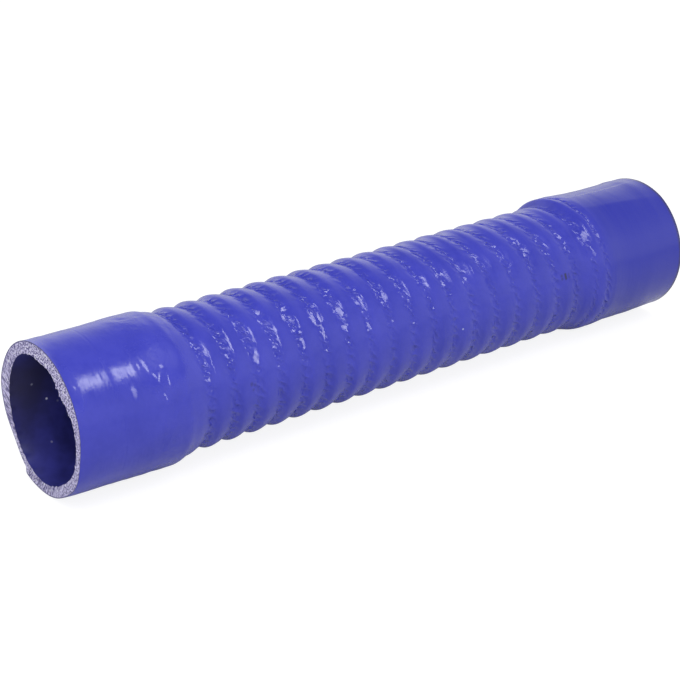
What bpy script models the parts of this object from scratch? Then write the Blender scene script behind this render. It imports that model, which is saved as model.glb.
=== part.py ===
"""Silicone coolant hose: a straight hose with a spirally corrugated body between two plain clamping cuffs.

The real hose is laid up on a mandrel and cured as one piece, so the model is one closed body.
Units are metres, +Z is up. The hose lies on its side along X, with its near end at -X. The origin is on the
surface that the hose lies on, under the middle of its length.
"""

import math

import bpy
import numpy as np

# Bore and walls
BORE_DIAMETER = 0.0510
CUFF_WALL = 0.0050
# From the bore to the crest of a ridge
BODY_WALL = 0.0036

# Lengths along the hose, from the near end to the far end
HOSE_LENGTH = 0.3200
NEAR_CUFF_LENGTH = 0.0460
NEAR_SHOULDER_LENGTH = 0.0090
FAR_SHOULDER_LENGTH = 0.0120
FAR_CUFF_LENGTH = 0.0520

# The cuffs swell where their extra plies end: how much, how far from the hose's end, and over what half width
NEAR_SWELL_HEIGHT = 0.0006
NEAR_SWELL_FROM_END = 0.0420
NEAR_SWELL_HALF_WIDTH = 0.0160
FAR_SWELL_HEIGHT = 0.0011
FAR_SWELL_FROM_END = 0.0500
FAR_SWELL_HALF_WIDTH = 0.0090

# The spiral ridge is a right-handed helix. Its crest passes the top of the hose FIRST_CREST from the near end,
# and each turn's pitch is a little longer than the last.
FIRST_CREST = 0.0612
FIRST_PITCH = 0.0107
PITCH_GROWTH = 0.00011
# From crest to groove, in the first turn and in the last
NEAR_RIDGE_HEIGHT = 0.0014
FAR_RIDGE_HEIGHT = 0.0010

# Facets of the solid
FACETS_ROUND = 36
ROWS_PER_TURN = 7
ROWS_PER_CUFF = 8
ROWS_PER_SHOULDER = 6

# Colour of the cured rubber
HOSE_BLUE = (0.072, 0.078, 0.520, 1.0)
HOSE_ROUGHNESS = 0.32

# Sizes that follow from those above
BORE_RADIUS = BORE_DIAMETER / 2
CUFF_RADIUS = BORE_RADIUS + CUFF_WALL
CREST_RADIUS = BORE_RADIUS + BODY_WALL
BODY_START = NEAR_CUFF_LENGTH + NEAR_SHOULDER_LENGTH
FAR_CUFF_START = HOSE_LENGTH - FAR_CUFF_LENGTH
BODY_END = FAR_CUFF_START - FAR_SHOULDER_LENGTH
HALF_FACET = math.pi / FACETS_ROUND
# The facets' flats, and not their corners, lie on the true radius
CORNER_FACTOR = 1 / math.cos(HALF_FACET)


def ease(t):
    """Smooth step from 0 to 1, level at both ends."""
    t = np.clip(t, 0, 1)
    return t * t * (3 - 2 * t)


def swell(station, middle, half_width, height):
    """A rounded swelling of the outside, bell shaped along the hose."""
    return height * np.exp(-(((station - middle) / half_width) ** 2))


def station_of_turn(turn):
    """Distance from the near end to the crest, after this many turns from the top of the hose."""
    return FIRST_CREST + FIRST_PITCH * turn + PITCH_GROWTH * turn * turn / 2


def turn_of_station(station):
    """The inverse of station_of_turn."""
    run = station - FIRST_CREST
    root = np.sqrt(np.maximum(FIRST_PITCH**2 + 2 * PITCH_GROWTH * run, 0))
    return 2 * run / (FIRST_PITCH + root)


def envelope_radius(station):
    """Outer radius over the cuffs, the shoulders and the crests of the ridge."""
    cuff = (
        CUFF_RADIUS
        + swell(station, NEAR_SWELL_FROM_END, NEAR_SWELL_HALF_WIDTH, NEAR_SWELL_HEIGHT)
        + swell(station, HOSE_LENGTH - FAR_SWELL_FROM_END, FAR_SWELL_HALF_WIDTH, FAR_SWELL_HEIGHT)
    )
    in_body = ease((station - NEAR_CUFF_LENGTH) / NEAR_SHOULDER_LENGTH)
    in_body = in_body * ease((FAR_CUFF_START - station) / FAR_SHOULDER_LENGTH)
    return cuff + (CREST_RADIUS - cuff) * in_body


def groove_depth(station, angle):
    """Depth below the crests. The angle is from the top, and grows the way that the helix winds."""
    phase = turn_of_station(station) - angle / (2 * math.pi)
    along = np.clip((station - BODY_START) / (BODY_END - BODY_START), 0, 1)
    height = NEAR_RIDGE_HEIGHT + (FAR_RIDGE_HEIGHT - NEAR_RIDGE_HEIGHT) * along
    run_in = ease((station - NEAR_CUFF_LENGTH) / NEAR_SHOULDER_LENGTH)
    run_out = ease((FAR_CUFF_START - station) / FAR_SHOULDER_LENGTH)
    return height * run_in * run_out * (1 - np.cos(2 * math.pi * phase)) / 2


def ring_stations():
    """Where the rings of facets lie along the hose: sparse on the cuffs, ROWS_PER_TURN on the ridge."""
    near_cuff = np.linspace(0, NEAR_CUFF_LENGTH, ROWS_PER_CUFF, endpoint=False)
    near_shoulder = np.linspace(NEAR_CUFF_LENGTH, BODY_START, ROWS_PER_SHOULDER, endpoint=False)
    first, last = turn_of_station(np.array([BODY_START, BODY_END]))
    rows = round(float(last - first) * ROWS_PER_TURN)
    body = station_of_turn(np.linspace(first, last, rows, endpoint=False))
    far_shoulder = np.linspace(BODY_END, FAR_CUFF_START, ROWS_PER_SHOULDER, endpoint=False)
    far_cuff = FAR_CUFF_START + FAR_CUFF_LENGTH * np.linspace(0, 1, ROWS_PER_CUFF) ** 1.5
    return np.concatenate([near_cuff, near_shoulder, body, far_shoulder, far_cuff])


def make_blank(collection):
    """The hose before its ridge: one wall profile, turned about the local Z axis by a Screw modifier."""
    stations = ring_stations()
    outside = [(float(envelope_radius(s)), float(s)) for s in stations[::-1]]
    bore = [(BORE_RADIUS, 0.0), (BORE_RADIUS, HOSE_LENGTH)]
    # Half a facet of turn brings a flat, and not a corner, to the bottom of the lying hose
    to_corner = (CORNER_FACTOR * math.cos(HALF_FACET), CORNER_FACTOR * math.sin(HALF_FACET))
    corners = [
        (radius * to_corner[0], radius * to_corner[1], station)
        for radius, station in outside + bore
    ]
    count = len(corners)
    profile = bpy.data.meshes.new("hose_profile")
    profile.from_pydata(corners, [(i, (i + 1) % count) for i in range(count)], [])

    blank = bpy.data.objects.new("hose_blank", profile)
    collection.objects.link(blank)
    turned = blank.modifiers.new("turned", "SCREW")
    turned.axis = "Z"
    turned.angle = 2 * math.pi
    turned.steps = FACETS_ROUND
    turned.render_steps = FACETS_ROUND
    turned.use_merge_vertices = True
    turned.merge_threshold = 0.00001
    return blank


def press_ridge(blank):
    """Reads the turned blank as a mesh and presses the spiral groove into its outside."""
    bpy.context.view_layer.update()
    turned = blank.evaluated_get(bpy.context.evaluated_depsgraph_get())
    mesh = bpy.data.meshes.new_from_object(turned)
    points = np.empty(len(mesh.vertices) * 3, np.float32)
    mesh.vertices.foreach_get("co", points)
    points = points.reshape(-1, 3).astype(float)
    # Local X points down from the lying hose, and local Y to its back
    downward, backward, station = points.T
    radius = np.hypot(downward, backward) / CORNER_FACTOR
    # From the top, the helix winds over the front
    angle = np.arctan2(-backward, -downward)
    on_outside = radius > BORE_RADIUS + min(BODY_WALL, CUFF_WALL) / 2
    pressed = np.where(on_outside, radius - groove_depth(station, angle), radius)
    points[:, :2] *= (pressed / radius)[:, None]
    mesh.vertices.foreach_set("co", points.astype(np.float32).ravel())
    mesh.update()
    return mesh


def rubber():
    material = bpy.data.materials.new("blue_silicone")
    material.use_nodes = True
    shader = material.node_tree.nodes["Principled BSDF"]
    shader.inputs["Base Color"].default_value = HOSE_BLUE
    shader.inputs["Roughness"].default_value = HOSE_ROUGHNESS
    shader.inputs["Metallic"].default_value = 0.0
    material.diffuse_color = HOSE_BLUE
    return material


def make_hose(collection):
    blank = make_blank(collection)
    mesh = press_ridge(blank)
    bpy.data.objects.remove(blank)
    mesh.name = "hose"
    mesh.shade_smooth()
    mesh.set_sharp_from_angle(angle=math.radians(50))
    mesh.materials.clear()
    mesh.materials.append(rubber())

    hose = bpy.data.objects.new("hose", mesh)
    collection.objects.link(hose)
    # The hose is laid down along X, with its widest ring on the surface and its middle over the origin
    widest = float(envelope_radius(ring_stations()).max())
    hose.rotation_euler = (0, math.radians(90), 0)
    hose.location = (-HOSE_LENGTH / 2, 0, widest)
    return hose


for leftover in list(bpy.data.objects):
    bpy.data.objects.remove(leftover)

hose_collection = bpy.data.collections.new("silicone_coolant_hose")
bpy.context.scene.collection.children.link(hose_collection)
make_hose(hose_collection)
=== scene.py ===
"""Silicone coolant hose: a spirally corrugated body between two plain cuffs, lying on its side."""

import math

import bpy
import numpy as np
from mathutils import Matrix, Vector


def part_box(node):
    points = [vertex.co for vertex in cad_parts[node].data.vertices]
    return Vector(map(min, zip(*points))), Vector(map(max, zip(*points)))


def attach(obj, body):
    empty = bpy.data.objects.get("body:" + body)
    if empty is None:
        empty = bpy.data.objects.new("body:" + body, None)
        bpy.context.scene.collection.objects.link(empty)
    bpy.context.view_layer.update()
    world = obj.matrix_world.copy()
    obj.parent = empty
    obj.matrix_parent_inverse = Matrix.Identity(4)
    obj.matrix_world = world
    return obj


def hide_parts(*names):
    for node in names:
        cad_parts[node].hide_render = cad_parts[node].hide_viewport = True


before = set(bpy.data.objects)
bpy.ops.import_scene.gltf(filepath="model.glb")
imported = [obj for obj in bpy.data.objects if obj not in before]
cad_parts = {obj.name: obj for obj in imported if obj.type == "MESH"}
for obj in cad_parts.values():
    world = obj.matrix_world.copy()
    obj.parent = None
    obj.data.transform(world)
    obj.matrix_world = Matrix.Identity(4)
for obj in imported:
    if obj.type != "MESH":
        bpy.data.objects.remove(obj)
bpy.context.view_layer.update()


# The moulded wall
# The real hose is silicone and fabric laid up on a mandrel. A twisted rope is wound round it while it cures
# and leaves one spiral groove with the print of its strands. Then the rope comes off and the ends are cut.
LOWEST, HIGHEST = (np.array(corner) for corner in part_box("hose"))
LENGTH = HIGHEST[0] - LOWEST[0]
WIDEST_RADIUS = (HIGHEST[2] - LOWEST[2]) / 2
AXIS_HEIGHT = float(HIGHEST[2] + LOWEST[2]) / 2
NEAR_END = float(LOWEST[0])

# A station is a distance from the near cut. An angle is counted from the top towards the seen side.
CREST_RADIUS = 0.0291
TOP_EDGE = math.radians(-28)


def ease(t):
    """Smooth step from 0 to 1: three t squared less two t cubed."""
    t = np.clip(t, 0, 1)
    return t * t * (3 - 2 * t)


def bell(x, middle, half_width):
    """The bell curve: e to the minus square of the distance from the middle in half widths."""
    return np.exp(-(((x - middle) / half_width) ** 2))


def low_form(station, form):
    """A low form along the hose: its height times a bell curve with its middle and half length."""
    height, middle, half_length = form
    return height * bell(station, middle, half_length)


def waves(station, angle, per_metre, per_turn, seed, count=24):
    """Smooth unevenness between about -1 and 1: a sum of cosine waves in seeded directions.

    Each wave goes a whole number of times round the hose, so that the surface closes on itself.
    """
    chance = np.random.default_rng(seed)
    total = np.zeros(np.broadcast(station, angle).shape)
    for _ in range(count):
        along = 2 * math.pi * chance.normal(0, per_metre)
        around = round(chance.normal(0, per_turn))
        total += np.cos(along * station + around * angle + chance.uniform(0, 2 * math.pi))
    return total / math.sqrt(count)


def turns(run, pitch, growth):
    """Turns that a helix has made after this run, when its pitch grows with each turn: a quadratic's root."""
    return 2 * run / (pitch + np.sqrt(np.maximum(pitch**2 + 2 * growth * run, pitch**2 / 4)))


def bulges(angle, parts):
    """A sum of bell curves round the hose, each with its degrees, half width in degrees and height."""
    total = np.zeros(np.shape(angle))
    for degrees, half_width, height in parts:
        total += height * bell((np.degrees(angle) - degrees + 180) % 360 - 180, 0, half_width)
    return total


# Low forms pressed into the soft cuffs: height, middle and half length.
CUFF_RADIUS = 0.0305
NEAR_SWELLING = (0.0006, 0.0420, 0.0180)
NEAR_RIPPLES = (0.00007, 0.0360, 0.0080)
NEAR_BULGE = (0.0007, 0.0410, 0.0080)
NEAR_BULGE_ANGLE = 0.42
NEAR_BULGE_HALF_ANGLE = 0.30
CUFF_WAVES = 0.00005
MOUTH_TILT = 0.0002
MOUTH_TILT_LENGTH = 0.024
MOUTH_SAG = 0.0004
MOUTH_SAG_LENGTH = 0.030
MOUTH_SAG_ANGLE = math.radians(-80)

FAR_CUFF_RADIUS = 0.0308
FAR_DIP = (0.0003, 0.2990, 0.0110)
FAR_LIP = (0.00025, 0.3120, 0.0022)
FAR_CREASE = (0.00130, 0.2950, 0.0210)
CREASE_ANGLE = math.radians(22)
CREASE_FROM = 0.2750
CREASE_TURN_PER_METRE = 3.0
CREASE_HALF_ANGLE = 0.32
SHOULDER_START = 0.2745
SHOULDER_END = 0.2845
SHOULDER_SLANT = 0.0025
SHOULDER_HEIGHT = 0.00072
SHOULDER_HIGHER_ON_TOP = 0.00012
SHOULDER_POWER = 1.4

# The knife's unevenness at the near mouth: degrees, half width in degrees, and how far outward the edge is.
RIM_OUTSIDE = (
    (-80, 13, 0.0007), (-125, 18, -0.0020), (30, 38, 0.0008), (102, 20, -0.0014), (148, 18, -0.0006),
)
RIM_LENGTH = 0.002
STEP_DEGREES = -149
STEP_HEIGHT = 0.0026
STEP_RISES_IN_DEGREES = 1.6
STEP_FADES_IN_DEGREES = 25


def cuffs(station, angle):
    """Radius of the two cuffs: a cylinder each, with the low forms added as bell curves.

    The near mouth also tilts by a straight line and sags by a squared raised cosine. Its cut edge and the
    knife's step fade along the cuff as a power of e. The far cuff begins with a shoulder that falls off as a
    power of the station, and its crease is a slanted line that fades round the hose as a power of e.
    """
    upward = np.cos(angle - TOP_EDGE)
    near = CUFF_RADIUS + low_form(station, NEAR_SWELLING)
    near = near + MOUTH_TILT * upward * (1 - np.minimum(station / MOUTH_TILT_LENGTH, 2.0))
    far = FAR_CUFF_RADIUS - low_form(station, FAR_DIP) * upward
    shoulder_start = SHOULDER_START - SHOULDER_SLANT * upward
    falling_off = np.clip((SHOULDER_END - station) / (SHOULDER_END - shoulder_start), 0, 1)
    far = far + (SHOULDER_HEIGHT + SHOULDER_HIGHER_ON_TOP * upward) * falling_off**SHOULDER_POWER
    crease_angle = CREASE_ANGLE + CREASE_TURN_PER_METRE * (station - CREASE_FROM)
    far = far + low_form(station, FAR_CREASE) * np.exp(-np.abs(angle - crease_angle) / CREASE_HALF_ANGLE)
    far = far + low_form(station, FAR_LIP) * np.maximum(upward, 0)
    cuff = np.where(station < LENGTH / 2, near, far)

    sagging = ((1 + np.cos(angle - MOUTH_SAG_ANGLE)) / 2) ** 2
    cuff = cuff + MOUTH_SAG * sagging * (1 - ease(station / MOUTH_SAG_LENGTH))
    cuff = cuff + CUFF_WAVES * waves(station, angle, per_metre=60, per_turn=3, seed=3)
    cuff = cuff + low_form(station, NEAR_RIPPLES) * waves(station, angle, per_metre=80, per_turn=9, seed=13)
    cuff = cuff + low_form(station, NEAR_BULGE) * bell(angle, NEAR_BULGE_ANGLE, NEAR_BULGE_HALF_ANGLE)
    past_step = (STEP_DEGREES - np.degrees(angle)) % 360
    step = STEP_HEIGHT * ease(past_step / STEP_RISES_IN_DEGREES) * np.exp(-past_step / STEP_FADES_IN_DEGREES)
    return cuff + (bulges(angle, RIM_OUTSIDE) + step) * np.exp(-station / RIM_LENGTH)


# The ridge between two turns of the rope. It was wound by hand, so it leans, bows and is flatter in places.
FIRST_CREST = 0.0608
FIRST_PITCH = 0.01084
PITCH_GROWTH = 0.000089
NEAR_RIDGE_LEAN = 0.0011
FAR_RIDGE_LEAN = -0.0007
LEAN_TURNS_FROM = 0.150
LEAN_TURNS_WITHIN = 0.110
RIDGE_BOW = 0.0023
SEEN_MIDDLE = math.radians(61)
SECOND_BOW = 0.25
SECOND_BOW_ANGLE = math.radians(40)
LOWEST_POINT = 0.62
FALLING_POWER = 0.9
STEEP_SHARE = 0.72
STEEP_POWER = 3
BLUNT_POWER = 0.5

NEAR_RIDGE_HEIGHT = 0.00140
FAR_RIDGE_HEIGHT = 0.00105
FAR_HALF_FROM = 0.135
FAR_HALF_WITHIN = 0.075
FLATTEST_SIDE = math.radians(60)
FLAT_SIDE_POWER = 2.5
NEAR_FLATTENING = 0.50
FAR_FLATTENING_ADDED = 0.15
FAR_FLATTENING_FROM = 0.120
FAR_FLATTENING_WITHIN = 0.030
# The shares taken off more at two places: share, middle and half length.
FLATTENED_PLACES = ((0.08, 0.168, 0.018), (0.20, 0.060, 0.005))


def ridge_share(station, angle):
    """How far up the ridge a place is, from 0 in the valley to 1 on the crest.

    The ridge is a helix. In each turn it falls slowly behind its crest and rises steeply before the next one,
    which are powers of a raised cosine. Its lean and bow are cosines of the angle, added to the station.
    """
    leaning_back = ease((station - LEAN_TURNS_FROM) / LEAN_TURNS_WITHIN)
    lean = NEAR_RIDGE_LEAN + (FAR_RIDGE_LEAN - NEAR_RIDGE_LEAN) * leaning_back
    bow = np.cos(angle - SEEN_MIDDLE) + SECOND_BOW * np.cos(2 * angle - SECOND_BOW_ANGLE)
    wound = station - lean * np.cos(angle - TOP_EDGE) + RIDGE_BOW * bow
    ridge = turns(wound - FIRST_CREST, FIRST_PITCH, PITCH_GROWTH) - angle / (2 * math.pi)
    past_crest = ridge - np.floor(ridge)
    falling = (1 + np.cos(math.pi * np.minimum(past_crest / LOWEST_POINT, 1))) / 2
    rising = (1 + np.cos(math.pi * np.minimum((1 - past_crest) / (1 - LOWEST_POINT), 1))) / 2
    rising = STEEP_SHARE * rising**STEEP_POWER + (1 - STEEP_SHARE) * rising**BLUNT_POWER
    return np.where(past_crest < LOWEST_POINT, falling**FALLING_POWER, rising)


def ridge_height(station, angle):
    """Height of the crests over the valleys: a smooth step from the near height to the far one.

    On the seen side a share is taken off, which is a power of a raised cosine times a share for the station.
    """
    flatter = NEAR_FLATTENING
    flatter = flatter + FAR_FLATTENING_ADDED * ease((station - FAR_FLATTENING_FROM) / FAR_FLATTENING_WITHIN)
    for place in FLATTENED_PLACES:
        flatter = flatter + low_form(station, place)
    flatter = flatter * ((1 + np.cos(angle - FLATTEST_SIDE)) / 2) ** FLAT_SIDE_POWER
    far_half = ease((station - FAR_HALF_FROM) / FAR_HALF_WITHIN)
    return (NEAR_RIDGE_HEIGHT + (FAR_RIDGE_HEIGHT - NEAR_RIDGE_HEIGHT) * far_half) * (1 - flatter)


# The rope that pressed the groove. Its turns don't quite follow the ridge's, so it has a helix of its own.
# The drift is a length, with its middle and half length along the hose.
ROPE_START = 0.0554
ROPE_PITCH = 0.0111
ROPE_GROWTH = 0.00004
ROPE_DRIFT = (0.0022, 0.190, 0.028)
ROPE_CLOSING = 0.0062
ROPE_CLOSES_FROM = 0.262
ROPE_CLOSES_WITHIN = 0.010
NEAR_ROPE_LEAN = 0.0009
FAR_ROPE_LEAN = -0.0012
STRAND_SPACING = 0.0046
STRAND_SLANT = 1.00
STRAND_WANDER = 0.25
STRAND_DEPTH = 0.00056
STRAND_FULLNESS = 1.5
PRESSED_ON_AVERAGE = 0.85
PRESSED_UNEVENLY = 0.30
PRINT_HALF_WIDTH = 0.0018
PRINT_WANDER = 0.0004
PRINT_START = 0.0505
PRINT_START_LENGTH = 0.005
PRINT_END = 0.2755
PRINT_END_LENGTH = 0.003


def rope_print(station, angle):
    """How strongly the rope marked that place, which strand of it lay there, and how deep that pressed.

    The rope is a helix that drifts along the hose, and its print fades to both sides as a bell curve. Its
    strands print slanted ovals, which are a power of the sine of the way along the rope.
    """
    drift = low_form(station, ROPE_DRIFT)
    drift = drift + ROPE_CLOSING * ease((station - ROPE_CLOSES_FROM) / ROPE_CLOSES_WITHIN)
    far_half = ease((station - FAR_HALF_FROM) / FAR_HALF_WITHIN)
    lean = NEAR_ROPE_LEAN + (FAR_ROPE_LEAN - NEAR_ROPE_LEAN) * far_half
    laid = station + drift - lean * np.cos(angle - TOP_EDGE)
    rope = turns(laid - ROPE_START, ROPE_PITCH, ROPE_GROWTH)
    rope_turn = rope - angle / (2 * math.pi)
    past_rope = (rope_turn - np.round(rope_turn)) * (ROPE_PITCH + ROPE_GROWTH * rope)
    along_rope = (angle + 2 * math.pi * np.round(rope_turn)) * CREST_RADIUS
    strand = (along_rope - past_rope / STRAND_SLANT) / STRAND_SPACING
    strand = strand + STRAND_WANDER * waves(station, angle, per_metre=90, per_turn=14, seed=5)

    aside = PRINT_WANDER * waves(station, angle, per_metre=120, per_turn=16, seed=11)
    printed = bell(past_rope + aside, 0, PRINT_HALF_WIDTH)
    printed = printed * ease((station - PRINT_START) / PRINT_START_LENGTH)
    printed = printed * ease((PRINT_END - station) / PRINT_END_LENGTH)
    uneven = waves(station, angle, per_metre=70, per_turn=12, seed=7)
    pressed = PRESSED_ON_AVERAGE + PRESSED_UNEVENLY * uneven
    oval = 1 - (1 - np.abs(np.sin(math.pi * strand))) ** STRAND_FULLNESS
    return printed, strand, STRAND_DEPTH * printed * pressed * oval


# The two roots, where the body goes over into the cuffs.
NEAR_CUFF_END = 0.0460
FIRST_VALLEY = 0.0570
RIDGE_START = 0.0490
RIDGE_START_LENGTH = 0.0070
FAR_CUFF_START = 0.2678
ROOT_SLANT = 0.0034
ROOT_LATER_ON_TOP = 0.0008
ROOT_LENGTH = 0.0102
ROOT_SHORTER_ON_TOP = 0.0038
RIDGE_ENDS_BEFORE = 0.25


def outside(station, angle):
    """Outer radius, how strongly the rope marked that place, and which strand of the rope lay there.

    The cuffs go over into the body by smooth steps, the far one by a shorter step on top. The ridge rises
    from the body and the rope's print is taken off. The CAD box, a square round the hose, is the limit.
    """
    upward = np.cos(angle - TOP_EDGE)
    on_top = np.maximum(upward, 0) ** 2
    root_end = FAR_CUFF_START - ROOT_SLANT * upward + ROOT_LATER_ON_TOP * on_top
    root_length = ROOT_LENGTH - ROOT_SHORTER_ON_TOP * (upward + on_top)
    run_in = ease((station - NEAR_CUFF_END) / (FIRST_VALLEY - NEAR_CUFF_END))
    run_out = ease((root_end - station) / root_length)
    begun = ease((station - RIDGE_START) / RIDGE_START_LENGTH)
    ridge_end = root_end - RIDGE_ENDS_BEFORE * root_length
    ended = ease((ridge_end - station) / ((1 - RIDGE_ENDS_BEFORE) * root_length))

    cuff = cuffs(station, angle)
    height = ridge_height(station, angle)
    radius = cuff + (CREST_RADIUS - height - cuff) * run_in * run_out
    radius = radius + height * ridge_share(station, angle) * begun * ended
    printed, strand, depth = rope_print(station, angle)
    box_edge = WIDEST_RADIUS / np.maximum(np.abs(np.sin(angle)), np.abs(np.cos(angle)))
    return np.minimum(radius - depth, box_edge), printed, strand


# The bore, off the middle at the near end, with the knife's unevenness as for the outside.
BORE_RADIUS = 0.0256
BORE_OFFSET = 0.0006
BORE_STRAIGHT_FROM = 0.120
BORE_WAVES = 0.00012
RIM_INSIDE = (
    (45, 17, -0.0022), (5, 9, -0.0008), (-155, 38, 0.0017), (-30, 24, 0.0009), (148, 18, -0.0009),
    (62.5, 1.7, -0.0011),
)
RIM_INSIDE_LENGTH = 0.004
NEAR_JAGS = 0.00085
FAR_JAGS = 0.00020
LEAST_JAGGED = 0.4
MORE_JAGGED = 0.8
MORE_JAGGED_DEGREES = 47
MORE_JAGGED_HALF_WIDTH = 26


def bore(station, angle):
    """Radius of the bore: a cylinder with low waves, the knife's bell curves and jags on its end rings."""
    radius = BORE_RADIUS + BORE_WAVES * waves(station, angle, per_metre=8, per_turn=3, seed=17, count=12)
    radius = radius + bulges(angle, RIM_INSIDE) * np.exp(-station / RIM_INSIDE_LENGTH)
    jagged = np.maximum(waves(0.0, angle[0], per_metre=0, per_turn=48, seed=19, count=30), 0)
    radius[0] -= FAR_JAGS * jagged
    more = bell(np.degrees(angle[0]), MORE_JAGGED_DEGREES, MORE_JAGGED_HALF_WIDTH)
    radius[-1] -= NEAR_JAGS * jagged * (LEAST_JAGGED + MORE_JAGGED * more)
    return radius


# The near cuff is shiny next to its mouth, with a dull line where a tape's edge lay, and dull behind that.
# Stations and angles of bell curves are given as the middle and the half width.
SHINY_START = 0.0035
SHINY_START_LENGTH = 0.003
TAPE_EDGE = 0.0183
TAPE_EDGE_HALF_WIDTH = 0.0013
SHINY_END = 0.0260
DULL_END = 0.0470
DULL_END_LENGTH = 0.004
DULL_ANGLE = (0.80, 0.32)
WRINKLED_BAND = (0.0365, 0.0070)
WRINKLED_PATCH = (0.0520, 0.0040)
WRINKLED_PATCH_ANGLE = (0.15, 0.35)


def worn(station, angle):
    """How wrinkled and how dull the wall is: bell curves and smooth steps along it times bells round it."""
    patch = bell(station, *WRINKLED_PATCH) * bell(angle, *WRINKLED_PATCH_ANGLE)
    wrinkled = bell(station, *WRINKLED_BAND) + patch
    shiny = ease((station - SHINY_START) / SHINY_START_LENGTH)
    shiny = shiny * (1 - ease((station - SHINY_END) / DULL_END_LENGTH))
    shiny = shiny * (1 - bell(station, TAPE_EDGE, TAPE_EDGE_HALF_WIDTH))
    dull = (1 - shiny) * (1 - ease((station - DULL_END) / DULL_END_LENGTH)) * bell(angle, *DULL_ANGLE)
    return wrinkled, dull


# The rings of the grid lie closest together on the body, where the rope's print is.
COLUMNS = 240
BODY_FROM = 0.026
BODY_TO = 0.278
NEAR_RINGS, BODY_RINGS, FAR_RINGS, BORE_RINGS, CUT_RINGS = 18, 334, 22, 18, 6
BEHIND_FAR_CUT = 0.0008
MOUTH_FROM = 0.016
MOUTH_STATIONS = (0.010, 0.006, 0.003, 0.0008, 0.0)
SHARPEST_SMOOTH_EDGE = math.radians(60)
# The bore's finish is dark partly as painted shade for its dim inside.
SILICONE, CUT, LINING_AND_SHADE = 0, 1, 2


def ring_points(station, radius, angle, aside):
    """Points of rings by sine and cosine of the angle, each ring moved aside to the seen side."""
    points = np.empty(radius.shape + (3,))
    points[..., 0] = LOWEST[0] + station
    points[..., 1] = -radius * np.sin(angle) - aside
    points[..., 2] = AXIS_HEIGHT + radius * np.cos(angle)
    return points


def hose_mesh():
    """The wall as one grid, closed both ways.

    It runs along the outside, over the far cut, back down the bore and over the near cut. A cut end is made
    of straight lines between the outer and the inner edge.
    """
    angle = np.arange(COLUMNS)[None, :] / COLUMNS * 2 * math.pi
    near = BODY_FROM * np.linspace(0, 1, NEAR_RINGS, endpoint=False) ** 1.5
    body = np.linspace(BODY_FROM, BODY_TO, BODY_RINGS, endpoint=False)
    far = np.linspace(BODY_TO, LENGTH, FAR_RINGS)
    out_station = np.concatenate([near, body, far])[:, None]
    out_radius, printed, strand = outside(out_station, angle)
    outer = ring_points(out_station, out_radius, angle, 0)

    straight = np.linspace(LENGTH - BEHIND_FAR_CUT, MOUTH_FROM, BORE_RINGS)
    bore_station = np.concatenate([[LENGTH], straight, MOUTH_STATIONS])[:, None]
    aside = BORE_OFFSET * (1 - ease(bore_station / BORE_STRAIGHT_FROM))
    inner = ring_points(bore_station, bore(bore_station, angle), angle, aside)

    across = np.linspace(0, 1, CUT_RINGS)[1:-1, None, None]
    far_cut = outer[-1] + (inner[0] - outer[-1]) * across
    near_cut = inner[-1] + (outer[0] - inner[-1]) * across
    points = np.concatenate([outer, far_cut, inner, near_cut])
    rows = len(points)

    row, column = np.meshgrid(np.arange(rows), np.arange(COLUMNS), indexing="ij")
    next_row, next_column = (row + 1) % rows, (column + 1) % COLUMNS
    corners = [row * COLUMNS + column, row * COLUMNS + next_column]
    corners += [next_row * COLUMNS + next_column, next_row * COLUMNS + column]
    mesh = bpy.data.meshes.new("hose_wall")
    mesh.from_pydata(points.reshape(-1, 3), [], np.stack(corners, axis=-1).reshape(-1, 4))

    finish = np.full((rows, COLUMNS), SILICONE, np.int32)
    first_bore_row = len(outer) + len(far_cut)
    last_bore_row = first_bore_row + len(inner) - 1
    finish[len(outer) - 1 : first_bore_row] = CUT
    finish[last_bore_row:] = CUT
    finish[first_bore_row:last_bore_row] = LINING_AND_SHADE
    mesh.polygons.foreach_set("material_index", finish.ravel())

    wrinkled, dull = worn(out_station, angle)
    depth = [0 * out_station, across[..., 0], 1 + 0 * bore_station, 1 - across[..., 0]]
    for name, values in (("rope_print", printed), ("rope_strand", strand), ("wrinkled", wrinkled),
                         ("dull", dull), ("wall_depth", np.concatenate(depth))):
        stored = np.zeros((rows, COLUMNS), np.float32)
        stored[:len(values)] = values
        mesh.attributes.new(name, "FLOAT", "POINT").data.foreach_set("value", stored.ravel())
    mesh.shade_smooth()
    mesh.set_sharp_from_angle(angle=SHARPEST_SMOOTH_EDGE)
    return mesh


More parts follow.
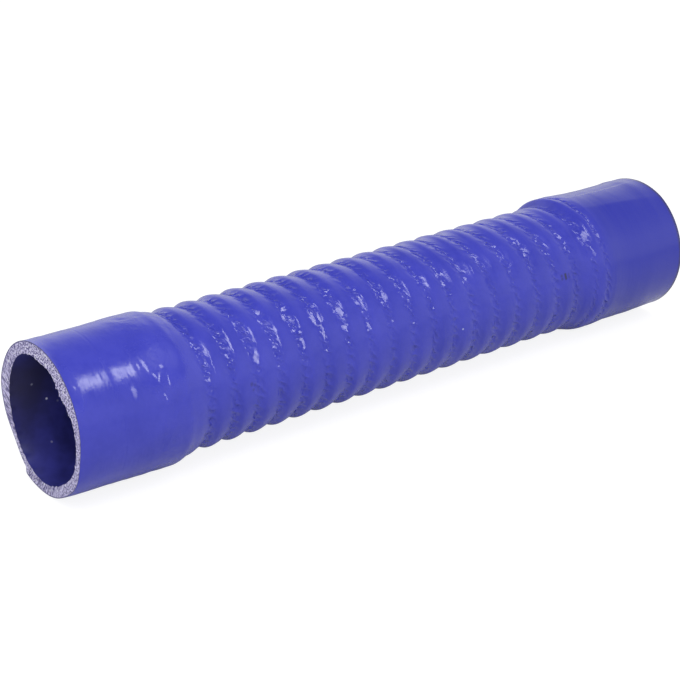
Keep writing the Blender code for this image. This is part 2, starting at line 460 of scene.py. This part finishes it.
class Look:
    """The node tree of a material, group or world, with short ways to add nodes and to feed them.

    What a socket is fed is a number, a tuple of numbers or another node's output.
    """

    def __init__(self, tree):
        self.nodes, self.links = tree.nodes, tree.links

    def feed(self, socket, value):
        """Set a socket to a number or a tuple, or join it to an output. None leaves it as it is."""
        if isinstance(value, (int, float, tuple)):
            socket.default_value = value
        elif value is not None:
            self.links.new(value, socket)

    def add(self, kind, inputs=(), **settings):
        """A new node of this kind with these settings, its first inputs fed in their order."""
        node = self.nodes.new(kind)
        for name, setting in settings.items():
            setattr(node, name, setting)
        for socket, value in zip(node.inputs, inputs):
            self.feed(socket, value)
        return node

    def place(self):
        """The place on the surface, in metres in the object's own frame."""
        return self.nodes.new("ShaderNodeTexCoord").outputs["Object"]

    def attribute(self, name):
        """A number that hose_mesh stored at each point."""
        return self.add("ShaderNodeAttribute", attribute_name=name).outputs["Fac"]

    def math(self, operation, first, second=None, third=None):
        """This operation on one to three numbers."""
        return self.add("ShaderNodeMath", (first, second, third), operation=operation).outputs[0]

    def product(self, *factors):
        """All factors multiplied."""
        total = factors[0]
        for factor in factors[1:]:
            total = self.math("MULTIPLY", total, factor)
        return total

    def less(self, whole, part):
        """The whole less the part."""
        return self.math("SUBTRACT", whole, part)

    def vector(self, operation, first, second=None, scale=None):
        """This operation on one or two vectors, or on a vector and a scale."""
        node = self.add("ShaderNodeVectorMath", (first, second), operation=operation)
        if scale is not None:
            self.feed(node.inputs["Scale"], scale)
        return node.outputs["Value" if operation in ("DISTANCE", "DOT_PRODUCT", "LENGTH") else "Vector"]

    def joined(self, x, y, z=0.0):
        """A vector of three numbers."""
        return self.add("ShaderNodeCombineXYZ", (x, y, z)).outputs[0]

    def ramp(self, value, low, high, start=0.0, end=1.0):
        """A straight ramp from start at the low value to end at the high one, level outside them."""
        return self.add("ShaderNodeMapRange", (value, low, high, start, end)).outputs["Result"]

    def stretched(self, vector, scale):
        """A vector times this scale, part by part. A pattern on it is longer where the scale is small."""
        return self.add("ShaderNodeMapping", (vector, None, None, scale)).outputs["Vector"]

    def noise(self, vector, scale, detail, roughness=0.5, output="Fac"):
        """Seeded noise from 0 to 1, with this scale per metre."""
        texture = self.nodes.new("ShaderNodeTexNoise")
        self.feed(texture.inputs["Vector"], vector)
        self.feed(texture.inputs["Scale"], scale)
        self.feed(texture.inputs["Detail"], detail)
        self.feed(texture.inputs["Roughness"], roughness)
        return texture.outputs[output]

    def mix(self, share, first, second, kind="RGBA"):
        """This share of the way from the first to the second. The kind is FLOAT, VECTOR or RGBA, a colour."""
        node = self.add("ShaderNodeMix", (share,), data_type=kind)
        place = ("FLOAT", "VECTOR", "RGBA").index(kind)
        self.feed(node.inputs[2 + 2 * place], first)
        self.feed(node.inputs[3 + 2 * place], second)
        return node.outputs[place]

    def bump(self, height, distance, normal=None):
        """The normal tilted by a height of this distance at 1."""
        node = self.nodes.new("ShaderNodeBump")
        self.feed(node.inputs["Height"], height)
        self.feed(node.inputs["Distance"], distance)
        self.feed(node.inputs["Normal"], normal)
        return node.outputs["Normal"]


def new_material(name):
    """A material, its node tree as a Look, and its Principled shader."""
    material = bpy.data.materials.new(name)
    material.use_nodes = True
    return material, Look(material.node_tree), material.node_tree.nodes["Principled BSDF"]


def spot_group():
    """A node group: 1 within the inner distance of a point, falling to 0 at the outer distance."""
    group = bpy.data.node_groups.new("spot", "ShaderNodeTree")
    for name, kind in (("Place", "Vector"), ("Point", "Vector"), ("Inner", "Float"), ("Outer", "Float")):
        group.interface.new_socket(name, in_out="INPUT", socket_type="NodeSocket" + kind)
    group.interface.new_socket("Mask", in_out="OUTPUT", socket_type="NodeSocketFloat")
    look = Look(group)
    given = look.nodes.new("NodeGroupInput").outputs
    away = look.vector("DISTANCE", given["Place"], given["Point"])
    mask = look.ramp(away, given["Inner"], given["Outer"], 1.0, 0.0)
    look.links.new(mask, look.nodes.new("NodeGroupOutput").inputs["Mask"])
    return group


SPOT = spot_group()


def spot(look, place, point, inner, outer):
    """The spot group placed in a material: its mask."""
    return look.add("ShaderNodeGroup", node_tree=SPOT, inputs=(place, point, inner, outer)).outputs["Mask"]


def wall_point(station, degrees, radius, aside=0.0):
    """The point of the wall at this station, angle and radius."""
    turned = math.radians(degrees)
    return NEAR_END + station, -radius * math.sin(turned) - aside, AXIS_HEIGHT + radius * math.cos(turned)


BLUE = (0.032, 0.039, 0.435, 1)
CLOUDED_BLUE = (0.045, 0.052, 0.490, 1)
# Painted shade: the far cuff's blue is darker to stand for the light falling off towards the far end.
FAR_CUFF_SHADED_BLUE = (0.023, 0.031, 0.395, 1)
FAR_RIM_GREY = (0.034, 0.030, 0.070, 1)
MARK_DARK_BLUE = (0.018, 0.018, 0.080, 1)
FLECK_BLUE = (0.45, 0.50, 0.75, 1)
# Dark marks: station, degrees, distances where the mark starts and stops fading, and strength.
MARKS = (
    (0.2464, 72.6, 0.0005, 0.0010, 1.00), (0.2465, 74.4, 0.0005, 0.0010, 1.00),
    (0.2466, 76.2, 0.0004, 0.0010, 1.00), (0.2444, 73.0, 0.0003, 0.0009, 0.60),
    (0.2445, 75.8, 0.0003, 0.0009, 0.60), (0.2484, 73.2, 0.0003, 0.0009, 0.50),
    (0.2485, 75.6, 0.0003, 0.0009, 0.50), (0.0764, 82.5, 0.0004, 0.0012, 0.50),
    (0.0781, 84.0, 0.0003, 0.0011, 0.50), (0.0772, 87.5, 0.0003, 0.0010, 0.40),
)
MARK_RADIUS = 0.0287
FLECK_STATION, FLECK_DEGREES, FLECK_INNER, FLECK_OUTER = 0.1853, 92.5, 0.0002, 0.0006
FAR_SHADE_FROM, FAR_SHADE_TO = 0.2700, 0.2770
RIM_GREY_FROM, RIM_GREY_TO = 0.3180, 0.3192


def blue_colour(look, place, station):
    """Clouds of two blues, darkened on the far cuff as painted shade, greyer at its rim, with the marks and a
    light fleck.
    """
    cloud = look.ramp(look.noise(place, scale=60, detail=5, roughness=0.7), 0.35, 0.65)
    colour = look.mix(cloud, BLUE, CLOUDED_BLUE)
    # Painted shade: the far cuff is darkened in colour for the light falling off towards the far end.
    colour = look.mix(look.ramp(station, FAR_SHADE_FROM, FAR_SHADE_TO, 0.0, 0.95), colour, FAR_CUFF_SHADED_BLUE)
    for mark_station, degrees, inner, outer, strength in MARKS:
        mark = spot(look, place, wall_point(mark_station, degrees, MARK_RADIUS), inner, outer)
        colour = look.mix(look.product(mark, strength), colour, MARK_DARK_BLUE)
    fleck_point = wall_point(FLECK_STATION, FLECK_DEGREES, MARK_RADIUS)
    colour = look.mix(spot(look, place, fleck_point, FLECK_INNER, FLECK_OUTER), colour, FLECK_BLUE)
    return look.mix(look.ramp(station, RIM_GREY_FROM, RIM_GREY_TO, 0.0, 0.70), colour, FAR_RIM_GREY)


# Small flats in the wall that mirror the lamp: station, degrees, half length along and around the hose, and
# slant in degrees.
FLATS = (
    (0.0302, 45, 0.0004, 0.0015, 0), (0.0326, 46, 0.0008, 0.0033, -12), (0.0349, 54.5, 0.0005, 0.0016, -30),
    (0.0364, 57, 0.0005, 0.0020, 20), (0.0369, 70.5, 0.0004, 0.0024, -20), (0.0399, 61, 0.0003, 0.0028, 0),
    (0.0389, 49.5, 0.0007, 0.0007, 0), (0.0809, 62.5, 0.0015, 0.0033, 0), (0.0907, 27, 0.0011, 0.0014, 0),
    (0.0995, 38, 0.0010, 0.0015, 0), (0.1019, 30.5, 0.0010, 0.0010, 0), (0.1033, 64, 0.0005, 0.0025, 0),
    (0.1120, 47, 0.0013, 0.0033, 0), (0.1144, 47.5, 0.0005, 0.0032, 0), (0.1141, 61, 0.0006, 0.0033, 0),
    (0.1249, 47.5, 0.0016, 0.0034, 0), (0.1246, 60.5, 0.0015, 0.0016, 0), (0.1370, 44.5, 0.0006, 0.0028, 0),
    (0.1365, 65, 0.0006, 0.0030, -20), (0.1483, 46, 0.0008, 0.0032, 0), (0.2632, 46, 0.0013, 0.0028, 0),
    (0.2646, 61, 0.0006, 0.0026, -15), (0.2685, 21.5, 0.0008, 0.0009, 0), (0.2697, 34, 0.0008, 0.0008, 0),
    (0.2700, 48, 0.0008, 0.0011, 0), (0.2693, 57, 0.0009, 0.0010, 0), (0.2700, 67, 0.0009, 0.0011, 0),
)
# The same for fainter flats: narrow ones along the front of a ridge and small ones in the rope's print.
FAINT_FLATS = (
    (0.0030, 47, 0.0004, 0.0010, 0), (0.0250, 62, 0.0013, 0.0032, 0), (0.0609, 56, 0.0002, 0.0070, 0),
    (0.0715, 45, 0.0003, 0.0070, 0), (0.0823, 47, 0.0004, 0.0040, 0), (0.0929, 53, 0.0004, 0.0065, 0),
    (0.1036, 62, 0.0004, 0.0035, 0), (0.1788, 41, 0.0011, 0.0016, 0), (0.1792, 51, 0.0009, 0.0014, 0),
    (0.1909, 40, 0.0010, 0.0019, 0), (0.1917, 51, 0.0007, 0.0019, 0), (0.1968, 45, 0.0004, 0.0030, 0),
    (0.2022, 37, 0.0008, 0.0011, 0), (0.2152, 43, 0.0008, 0.0013, 0), (0.2160, 56, 0.0008, 0.0016, 0),
    (0.2264, 32, 0.0010, 0.0010, 0), (0.2281, 45, 0.0007, 0.0012, 0), (0.2382, 35, 0.0007, 0.0014, 0),
    (0.2383, 47, 0.0006, 0.0009, 0), (0.2517, 39, 0.0008, 0.0011, 0), (0.2518, 49, 0.0007, 0.0017, 0),
)
FLAT_SHARE = 0.90
FAINT_SHARE = 0.78
FLAT_FADES_FROM, FLAT_FADES_TO = 0.60, 1.30
RAGGED_BY = 0.0010


def lamp_flats(look, place, station, angle):
    """Where the flats are, from 0 to 1: ovals on the unrolled wall, with edges made ragged by noise."""
    unrolled = look.joined(station, look.product(angle, CREST_RADIUS))
    ragged = look.vector("SCALE", look.noise(place, scale=480, detail=1, output="Color"), scale=RAGGED_BY)
    unrolled = look.vector("ADD", unrolled, ragged)
    flat = 0.0
    for share, rows in ((FLAT_SHARE, FLATS), (FAINT_SHARE, FAINT_FLATS)):
        for flat_station, degrees, along, around, slant in rows:
            middle = (flat_station, math.radians(degrees) * CREST_RADIUS, 0.0)
            middle = tuple(part + RAGGED_BY / 2 for part in middle)
            slanted = (0.0, 0.0, math.radians(slant))
            oval = look.add("ShaderNodeMapping", vector_type="TEXTURE",
                            inputs=(unrolled, middle, slanted, (along, around, 1.0)))
            from_middle = look.vector("LENGTH", oval.outputs["Vector"])
            mask = look.ramp(from_middle, FLAT_FADES_FROM, FLAT_FADES_TO, share, 0.0)
            flat = look.math("MAXIMUM", flat, mask)
    return flat


TAPE_LINE_HALF_WIDTH = 0.0009
GRAIN_LONG_ROUND = (1.0, 0.045, 0.045)
TAPE_PRINT_ROUND = (1.0, 0.55, 0.55)
TAPE_PRINT_FADES_FROM, TAPE_PRINT_FADES_TO = 0.026, 0.034
GRAIN_DEPTH = 0.00008
TAPE_PRINT_DEPTH = 0.00010
WRINKLE_DEPTH = 0.0005
TAPE_LINE_DEPTH = 0.00005
SEAM_DEPTH = 0.00031
SEAM_SHARPNESS = 1.6


def silicone_relief(look, place, station, printed, seams):
    """The normal with the fine relief: wrapping grain, tape print, wrinkles, tape edge and strand seams."""
    grain = look.noise(look.stretched(place, GRAIN_LONG_ROUND), scale=420, detail=3, roughness=0.6)
    normal = look.bump(grain, GRAIN_DEPTH)
    tape_print = look.noise(look.stretched(place, TAPE_PRINT_ROUND), scale=430, detail=2)
    fading = look.ramp(station, TAPE_PRINT_FADES_FROM, TAPE_PRINT_FADES_TO, 1.0, 0.0)
    normal = look.bump(look.product(tape_print, fading), TAPE_PRINT_DEPTH, normal)
    wrinkles = look.product(look.noise(place, scale=220, detail=2), look.attribute("wrinkled"))
    normal = look.bump(wrinkles, WRINKLE_DEPTH, normal)
    beside = look.math("ABSOLUTE", look.less(station, TAPE_EDGE))
    normal = look.bump(look.ramp(beside, 0.0, TAPE_LINE_HALF_WIDTH), TAPE_LINE_DEPTH, normal)
    seams = look.product(look.math("POWER", seams, SEAM_SHARPNESS), printed)
    return look.bump(seams, SEAM_DEPTH, normal)


# The flats face half way between the lamp and the camera, and lean further to the near end along the hose.
FLATS_TO_VIEWER = -0.722
FLATS_UPWARD = 0.692
FLATS_LEAN = -0.27
LEAN_START, LEAN_END = 0.0189, 0.240
# The print glints round this angle, and less past these stations.
GLINT_ANGLE, GLINT_FADES_FROM, GLINT_FADES_TO = 0.92, 0.32, 0.68
FEWER_GLINTS_FROM, FEWER_GLINTS_TO = 0.120, 0.170
GLINT_CELLS_PER_METRE = 880
GLINT_TILT = 0.42
SMOOTHEST, ROUGHEST, DULLER_BY = 0.17, 0.25, 0.18


def blue_silicone():
    """Blue silicone: shiny and dull by turns, with the rope's print and small flats that mirror the lamp.

    Inside the print the normal is tilted at random in each cell of a Voronoi pattern, and on the seen side
    it is pulled some way to the direction of the flats.
    """
    material, look, shader = new_material("blue_silicone")
    place = look.place()
    apart = look.add("ShaderNodeSeparateXYZ", (place,)).outputs
    station = look.less(apart["X"], NEAR_END)
    above = look.less(apart["Z"], AXIS_HEIGHT)
    angle = look.math("ARCTAN2", look.product(apart["Y"], -1.0), above)
    printed = look.attribute("rope_print")
    flat = lamp_flats(look, place, station, angle)
    look.feed(shader.inputs["Base Color"], blue_colour(look, place, station))

    rough = look.ramp(look.noise(place, scale=240, detail=3, roughness=0.6), 0.3, 0.7, SMOOTHEST, ROUGHEST)
    grain = look.math("MULTIPLY_ADD", look.noise(place, scale=620, detail=2), 0.9, -0.45)
    dull = look.ramp(look.math("ADD", look.attribute("dull"), grain), 0.30, 0.70)
    dull = look.product(dull, look.less(1.0, flat))
    look.feed(shader.inputs["Roughness"], look.math("MULTIPLY_ADD", dull, DULLER_BY, rough))
    grazing = look.nodes.new("ShaderNodeLayerWeight").outputs["Facing"]
    gloss = look.product(look.ramp(grazing, 0.80, 0.96, 0.5, 0.05), look.ramp(dull, 0.0, 1.0, 1.0, 0.55))
    look.feed(shader.inputs["Specular IOR Level"], gloss)

    strands = look.math("SINE", look.product(look.attribute("rope_strand"), math.pi))
    seams = look.less(1.0, look.math("ABSOLUTE", strands))
    inside = look.ramp(printed, 0.22, 0.62)
    aside = look.math("ABSOLUTE", look.less(angle, GLINT_ANGLE))
    seen = look.ramp(aside, GLINT_FADES_FROM, GLINT_FADES_TO, 1.0, 0.0)
    patches = look.ramp(look.noise(place, scale=400, detail=1), 0.30, 0.46, 0.0, 0.94)
    fewer = look.ramp(station, FEWER_GLINTS_FROM, FEWER_GLINTS_TO, 1.0, 0.50)
    pull = look.product(inside, seen, patches, look.less(1.0, seams), fewer)
    cells = look.nodes.new("ShaderNodeTexVoronoi")
    look.feed(cells.inputs["Vector"], place)
    look.feed(cells.inputs["Scale"], GLINT_CELLS_PER_METRE)
    tilt = look.vector("SUBTRACT", cells.outputs["Color"], (0.5, 0.5, 0.5))
    tilt = look.vector("SCALE", tilt, scale=look.product(inside, GLINT_TILT))

    lean = look.ramp(station, LEAN_START, LEAN_END, 0.0, FLATS_LEAN)
    towards = look.joined(lean, FLATS_TO_VIEWER, FLATS_UPWARD)
    normal = silicone_relief(look, place, station, printed, seams)
    normal = look.vector("ADD", look.mix(pull, normal, towards, "VECTOR"), tilt)
    normal = look.mix(flat, look.vector("NORMALIZE", normal), towards, "VECTOR")
    look.feed(shader.inputs["Normal"], look.vector("NORMALIZE", normal))
    return material


CUT_DARK = (0.075, 0.061, 0.225, 1)
CUT_PALE = (0.69, 0.65, 0.94, 1)
CUT_WHITE = (0.90, 0.90, 1.0, 1)
CUT_SKIN = (0.075, 0.070, 0.22, 1)
CUT_ALONG_SIDE = (0.0, 0.80, -0.60)
STROKES_ROUND = 48.0
STROKES_ACROSS = 1.3
STROKE_SLANT = 0.09
CUT_DEPTH = 0.0005
SKIN_FROM, SKIN_TO = 0.04, 0.12


def cut_end():
    """Pale cut yarn: noise stretched to slanted strokes where the plies were cut along, cells elsewhere."""
    material, look, shader = new_material("cut_plies")
    place = look.place()
    depth = look.attribute("wall_depth")
    centred = look.vector("SUBTRACT", place, (0.0, 0.0, AXIS_HEIGHT))
    outward = look.vector("NORMALIZE", look.vector("MULTIPLY", centred, (0.0, 1.0, 1.0)))
    turn = look.nodes.new("ShaderNodeVectorRotate")
    turn.rotation_type = "X_AXIS"
    look.feed(turn.inputs["Vector"], look.vector("SCALE", outward, scale=STROKES_ROUND))
    look.feed(turn.inputs["Angle"], look.product(depth, STROKE_SLANT))
    across = look.joined(look.product(depth, STROKES_ACROSS), 0.0)
    strokes = look.noise(look.vector("ADD", turn.outputs["Vector"], across), scale=1.5, detail=2)
    cells = look.noise(place, scale=1350, detail=1, roughness=0.4)
    cut_along = look.ramp(look.vector("DOT_PRODUCT", outward, CUT_ALONG_SIDE), -0.30, 0.50)
    height = look.mix(cut_along, cells, strokes, "FLOAT")
    colour = look.mix(look.ramp(height, 0.42, 0.58), CUT_DARK, CUT_PALE)
    white = look.ramp(look.noise(place, scale=800, detail=1), 0.62, 0.68, 0.0, 0.75)
    colour = look.mix(white, colour, CUT_WHITE)
    colour = look.mix(look.ramp(depth, SKIN_FROM, SKIN_TO, 1.0, 0.0), colour, CUT_SKIN)
    look.feed(shader.inputs["Base Color"], colour)
    look.feed(shader.inputs["Roughness"], 0.75)
    look.feed(shader.inputs["Normal"], look.bump(height, CUT_DEPTH))
    return material


# The bore's dark blues are partly a darker lining and partly painted shade for the dim inside of the bore.
LINING_AND_SHADE_DARK = (0.016, 0.017, 0.140, 1)
LINING_AND_SHADE_BLUE = (0.037, 0.039, 0.280, 1)
LINING_DUST = (0.050, 0.047, 0.085, 1)
LINING_SPECK = (0.80, 0.80, 0.95, 1)
# Light specks in the bore: station, degrees and strength.
BORE_SPECKS = (
    (0.0154, -99.9, 1.0), (0.0010, -150.8, 1.0), (0.0096, -82.7, 0.30), (0.0199, -104.5, 0.15),
    (0.0121, -138.0, 0.25),
)
SPECK_INNER, SPECK_OUTER = 0.0003, 0.0006
DUST_STATION, DUST_DEGREES, DUST_INNER, DUST_OUTER = 0.004, -75, 0.004, 0.024


def bore_lining_and_shade():
    """Smooth dark bore, partly a darker lining and partly painted shade for its dim inside, with light
    specks, greyer with dust near the mouth on the back of the bore.
    """
    material, look, shader = new_material("bore_lining_and_shade")
    place = look.place()
    cloud = look.ramp(look.noise(place, scale=70, detail=3, roughness=0.6), 0.35, 0.65)
    colour = look.mix(cloud, LINING_AND_SHADE_DARK, LINING_AND_SHADE_BLUE)
    dusty = wall_point(DUST_STATION, DUST_DEGREES, BORE_RADIUS, BORE_OFFSET)
    dust = spot(look, place, dusty, DUST_INNER, DUST_OUTER)
    colour = look.mix(look.product(dust, 0.75), colour, LINING_DUST)
    for station, degrees, strength in BORE_SPECKS:
        point = wall_point(station, degrees, BORE_RADIUS, BORE_OFFSET)
        speck = spot(look, place, point, SPECK_INNER, SPECK_OUTER)
        colour = look.mix(look.product(speck, strength), colour, LINING_SPECK)
    look.feed(shader.inputs["Base Color"], colour)
    look.feed(shader.inputs["Roughness"], 0.45)
    return material


hose = bpy.data.objects.new("hose_wall", hose_mesh())
bpy.context.scene.collection.objects.link(hose)
for material in (blue_silicone(), cut_end(), bore_lining_and_shade()):
    hose.data.materials.append(material)
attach(hose, "root")
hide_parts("hose")


# Floor, light and camera
# A white sweep under and behind the hose, one soft lamp high on the right, a weak fill light on the left, and
# the camera of the photograph.
FLOOR_SIZE = 8.0
FLOOR_LIGHTS_HOSE = (0.63, 0.63, 0.63, 1)
FLOOR_TO_CAMERA = (0.24, 0.24, 0.24, 1)
FLOOR_MIRRORED = (0.72, 0.72, 0.72, 1)
CAMERA_GLOW = 0.87
MIRRORED_GLOW = 0.10


def white_floor():
    """A matt white floor that the camera and reflections see brighter than it lights the hose."""
    material, look, shader = new_material("white_floor")
    ray = look.nodes.new("ShaderNodeLightPath").outputs
    colour = look.mix(ray["Is Camera Ray"], FLOOR_LIGHTS_HOSE, FLOOR_TO_CAMERA)
    look.feed(shader.inputs["Base Color"], look.mix(ray["Is Glossy Ray"], colour, FLOOR_MIRRORED))
    look.feed(shader.inputs["Roughness"], 1.0)
    look.feed(shader.inputs["Specular IOR Level"], 0.0)
    look.feed(shader.inputs["Emission Color"], (1, 1, 1, 1))
    glow = look.product(ray["Is Camera Ray"], CAMERA_GLOW)
    glow = look.math("ADD", glow, look.product(ray["Is Glossy Ray"], MIRRORED_GLOW))
    look.feed(shader.inputs["Emission Strength"], glow)
    return material


half = FLOOR_SIZE / 2
floor_mesh = bpy.data.meshes.new("floor")
floor_corners = [(-half, -half, 0), (half, -half, 0), (half, half, 0), (-half, half, 0)]
floor_mesh.from_pydata(floor_corners, [], [(0, 1, 2, 3)])
floor_mesh.materials.append(white_floor())
floor = bpy.data.objects.new("floor", floor_mesh)
bpy.context.scene.collection.objects.link(floor)

world = bpy.data.worlds.new("studio")
world.use_nodes = True
bpy.context.scene.world = world
look = Look(world.node_tree)
ray = look.nodes.new("ShaderNodeLightPath").outputs
generated = look.nodes.new("ShaderNodeTexCoord").outputs["Generated"]
upwards = look.add("ShaderNodeSeparateXYZ", (generated,)).outputs["Z"]
lighting = look.ramp(upwards, 0.0, 1.0, 0.98, 0.72)
mirrored = look.ramp(upwards, 0.35, 0.75, 1.0, 0.36)
level = look.mix(ray["Is Glossy Ray"], lighting, mirrored, "FLOAT")
background = look.nodes["Background"]
look.feed(background.inputs["Strength"], look.mix(ray["Is Camera Ray"], level, 1.0, "FLOAT"))
look.feed(background.inputs["Color"], (1, 1, 1, 1))

LAMP_PLACE = Vector((0.234, -0.396, 0.717))
LAMP_AIM = Vector((-0.143, -0.022, 0.054))
lamp_data = bpy.data.lights.new("softbox", "AREA")
lamp_data.shape = "RECTANGLE"
lamp_data.size = 0.15
lamp_data.size_y = 0.24
lamp_data.energy = 0.36
lamp_data.spread = math.radians(100)
lamp = bpy.data.objects.new("softbox", lamp_data)
lamp.location = LAMP_PLACE
back = (LAMP_PLACE - LAMP_AIM).normalized()
side = (Vector((1, 0, 0)) - back * back.x).normalized()
lamp.rotation_euler = Matrix((side, back.cross(side), back)).transposed().to_euler()
bpy.context.scene.collection.objects.link(lamp)

fill_data = bpy.data.lights.new("fill", "AREA")
fill_data.size = 0.40
fill_data.energy = 1.3
fill = bpy.data.objects.new("fill", fill_data)
fill.location = (-0.45, -0.40, 0.60)
fill.rotation_euler = (LAMP_AIM - fill.location).to_track_quat("-Z", "Y").to_euler()
bpy.context.scene.collection.objects.link(fill)

CAMERA_PLACE = Vector((-0.4155, -0.5108, 0.3067))
CAMERA_AIM = Vector((-0.01845, 0.0, 0.02704))
camera_data = bpy.data.cameras.new("camera")
camera_data.lens = 88.24
camera_data.sensor_width = 36.0
camera = bpy.data.objects.new("camera", camera_data)
camera.location = CAMERA_PLACE
camera.rotation_euler = (CAMERA_AIM - CAMERA_PLACE).to_track_quat("-Z", "Y").to_euler()
bpy.context.scene.collection.objects.link(camera)
bpy.context.scene.camera = camera
bpy.context.scene.view_settings.view_transform = "Standard"
